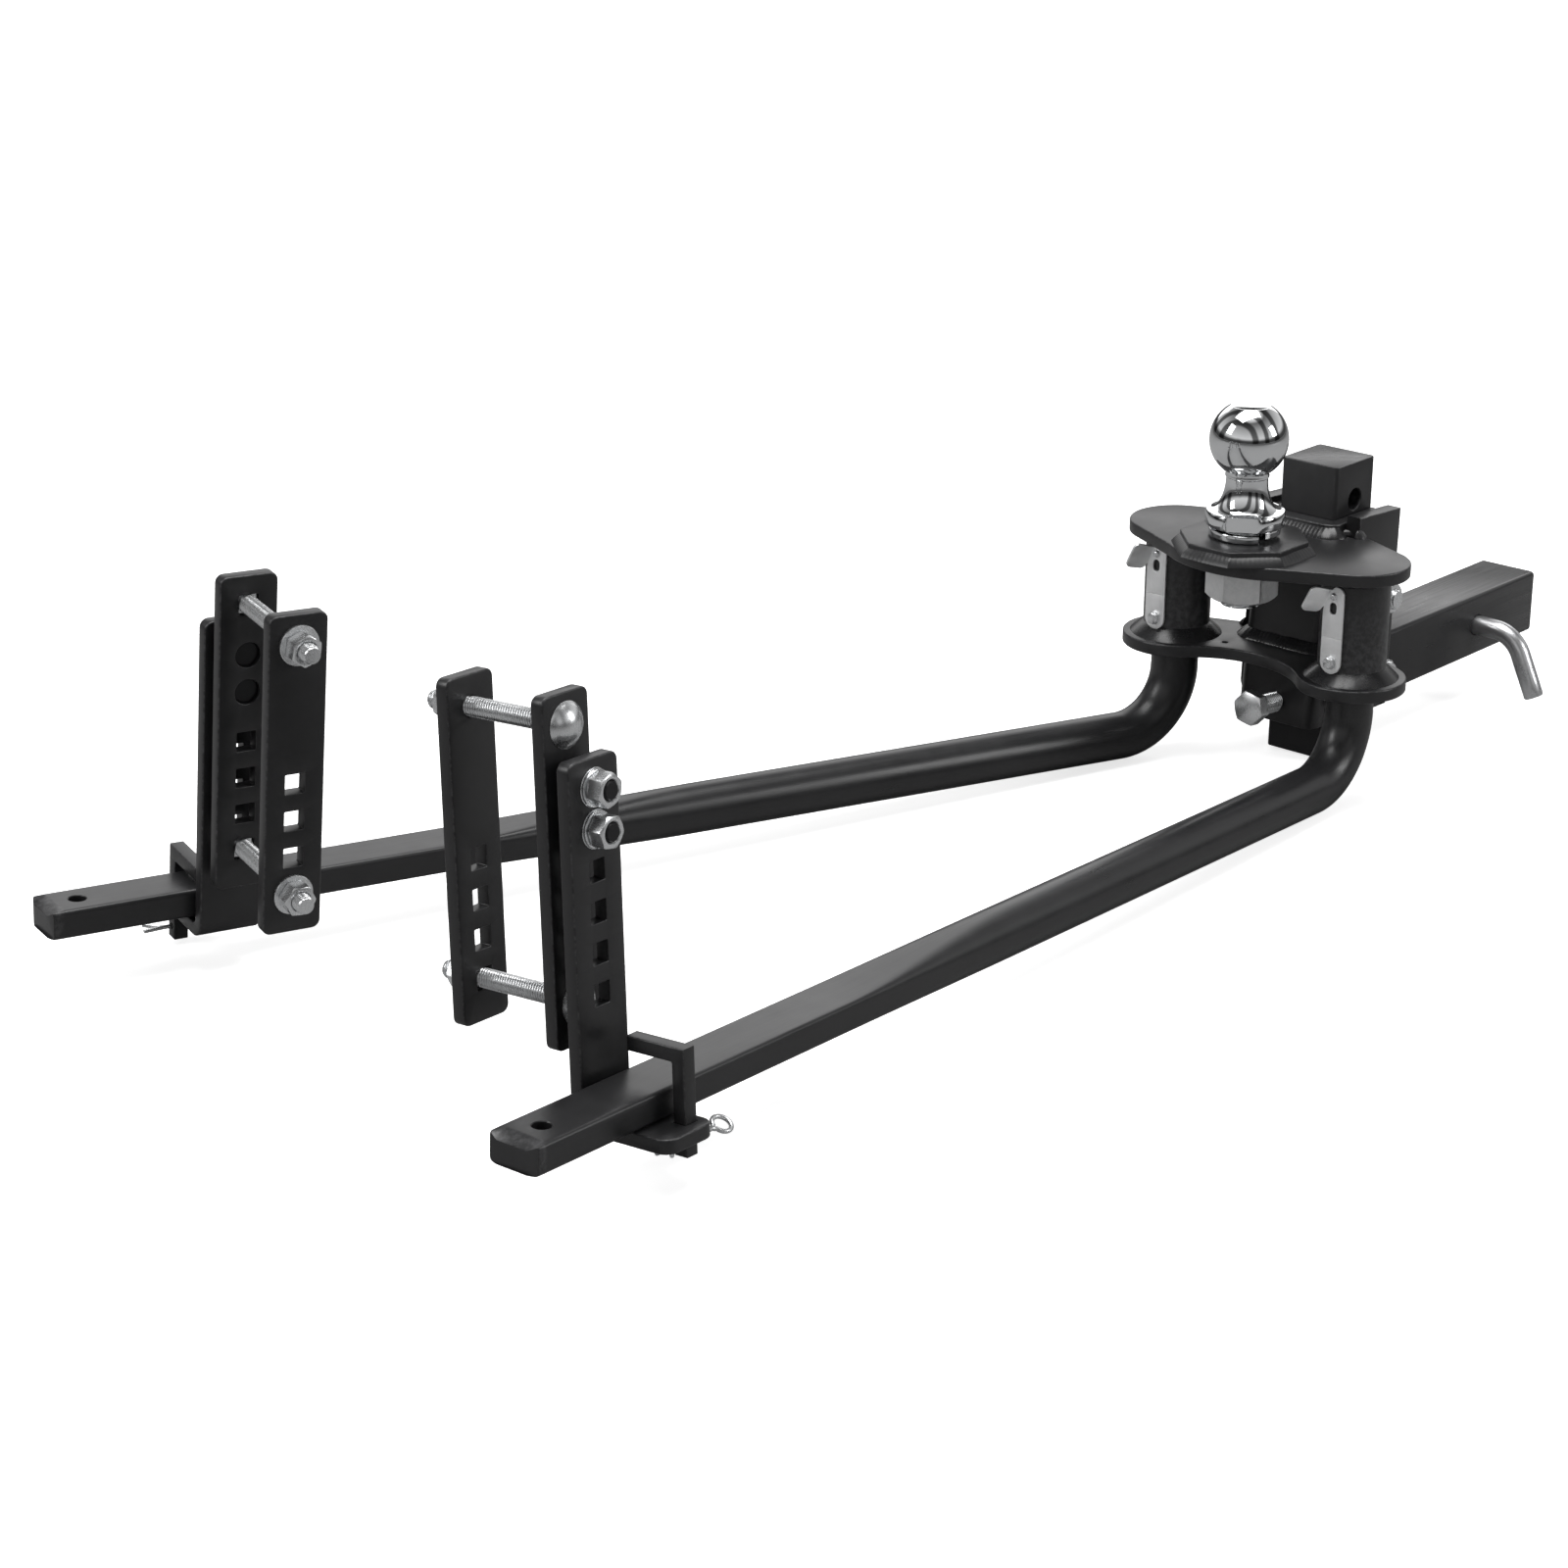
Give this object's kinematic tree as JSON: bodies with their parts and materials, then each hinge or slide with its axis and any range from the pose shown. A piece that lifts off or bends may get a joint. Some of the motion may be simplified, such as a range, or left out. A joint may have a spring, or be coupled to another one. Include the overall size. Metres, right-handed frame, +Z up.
{
  "type": "weight distribution hitch",
  "caption": "Trailer hitch with a ball on a head clamped to an L-shaped square shank, two long round spring bars hanging from sockets, each with a clamp bracket riding on its flattened end",
  "frame": {"origin": "centre of the hitch ball", "axes": "+X forward to the tow vehicle along the shank, +Y to the left, +Z up"},
  "size_m": [1.2859, 0.5346, 0.2943],
  "materials": {
    "black_coat": "semi-gloss black powder coat",
    "bar_coat": "satin black coat with a lengthwise grain",
    "ball_chrome": "mirror",
    "dull_zinc": "dull zinc plate",
    "bright_zinc": "bright zinc plate",
    "pin_steel": "satin",
    "dark_steel": "black oxide"
  },
  "bodies": {
    "head_body": {"receiver_shank": "black_coat", "vertical_bar": "black_coat", "shank_weld": "black_coat", "head_top_plate": "black_coat", "ball_pad": "black_coat", "head_bottom_plate": "black_coat", "head_sleeve": "black_coat", "head_side_plates": "black_coat", "head_socket_welds": "black_coat", "head_sleeve_welds": "black_coat", "hitch_ball": "ball_chrome", "ball_lock_washer": "ball_chrome", "ball_nut": "dull_zinc", "head_set_screw": "bright_zinc", "cross_bolts": "bright_zinc", "cross_washers": "bright_zinc", "cross_nuts": "bright_zinc", "right_socket": "black_coat", "left_socket": "black_coat", "right_clip_root": "bright_zinc", "right_clip_screw": "bright_zinc", "left_clip_root": "bright_zinc", "left_clip_screw": "bright_zinc"},
    "tilt_bolt_body": {"tilt_bolt": "bright_zinc"},
    "hitch_pin_body": {"hitch_pin": "pin_steel"},
    "pin_clip_body": {"hitch_pin_clip": "bright_zinc"},
    "right_bar_body": {"right_spring_bar": "bar_coat"},
    "right_bracket_body": {"right_l_bracket": "black_coat", "right_link_plate": "black_coat", "right_clamp_plate": "black_coat", "right_studs": "dark_steel", "right_stud_washers": "bright_zinc", "right_stud_nuts": "bright_zinc", "right_carriage_bolts": "bright_zinc", "right_bolt_washers": "bright_zinc", "right_bolt_nuts": "bright_zinc"},
    "right_keeper_body": {"right_keeper": "black_coat", "right_cotter_pin": "bright_zinc"},
    "right_clip_body": {"right_clip_leaf": "bright_zinc", "right_detent_pin": "bright_zinc"},
    "left_bar_body": {"left_spring_bar": "bar_coat"},
    "left_bracket_body": {"left_l_bracket": "black_coat", "left_link_plate": "black_coat", "left_clamp_plate": "black_coat", "left_studs": "dark_steel", "left_stud_washers": "bright_zinc", "left_stud_nuts": "bright_zinc", "left_carriage_bolts": "bright_zinc", "left_bolt_washers": "bright_zinc", "left_bolt_nuts": "bright_zinc"},
    "left_keeper_body": {"left_keeper": "black_coat", "left_cotter_pin": "bright_zinc"},
    "left_clip_body": {"left_clip_leaf": "bright_zinc", "left_detent_pin": "bright_zinc"}
  },
  "joints": [
    {"name": "tilt_bolt_turn", "type": "hinge", "parent": "head_body", "child": "tilt_bolt_body", "pos_m": [0.05292, 0, -0.2186], "axis": [0.9952, 0, -0.0976], "continuous": true},
    {"name": "hitch_pin_turn", "type": "hinge", "parent": "head_body", "child": "hitch_pin_body", "pos_m": [0.304, 0, -0.2113], "axis": [0, 1, 0], "continuous": true},
    {"name": "hitch_pin_clip_pull", "type": "slide", "parent": "hitch_pin_body", "child": "pin_clip_body", "axis": [0, 0, -1], "range_m": [0, 0.02]},
    {"name": "right_bar_swing", "type": "hinge", "parent": "head_body", "child": "right_bar_body", "pos_m": [0.032, -0.08, -0.16], "axis": [0, 0, 1], "range_deg": [-2, 30]},
    {"name": "right_bracket_slide", "type": "slide", "parent": "right_bar_body", "child": "right_bracket_body", "axis": [0.9983, 0.0471, -0.0349], "range_m": [-0.04, 0.04]},
    {"name": "right_keeper_lift", "type": "slide", "parent": "right_bracket_body", "child": "right_keeper_body", "axis": [0.0315, 0.0713, 0.997], "range_m": [-0.012, 0]},
    {"name": "right_clip_flex", "type": "hinge", "parent": "head_body", "child": "right_clip_body", "pos_m": [0.00435, -0.0785, -0.1383], "axis": [0, -1, 0], "range_deg": [0, 12], "stiffness_Nm_per_rad": 4},
    {"name": "left_bar_swing", "type": "hinge", "parent": "head_body", "child": "left_bar_body", "pos_m": [0.032, 0.08, -0.16], "axis": [0, 0, -1], "range_deg": [-2, 16]},
    {"name": "left_bracket_slide", "type": "slide", "parent": "left_bar_body", "child": "left_bracket_body", "axis": [0.9547, -0.2955, -0.0349], "range_m": [-0.04, 0.04]},
    {"name": "left_keeper_lift", "type": "slide", "parent": "left_bracket_body", "child": "left_keeper_body", "axis": [0.0126, -0.0769, 0.997], "range_m": [0, 0.009]},
    {"name": "left_clip_flex", "type": "hinge", "parent": "head_body", "child": "left_clip_body", "pos_m": [0.00435, 0.0815, -0.1383], "axis": [0, -1, 0], "range_deg": [0, 12], "stiffness_Nm_per_rad": 4}
  ]
}
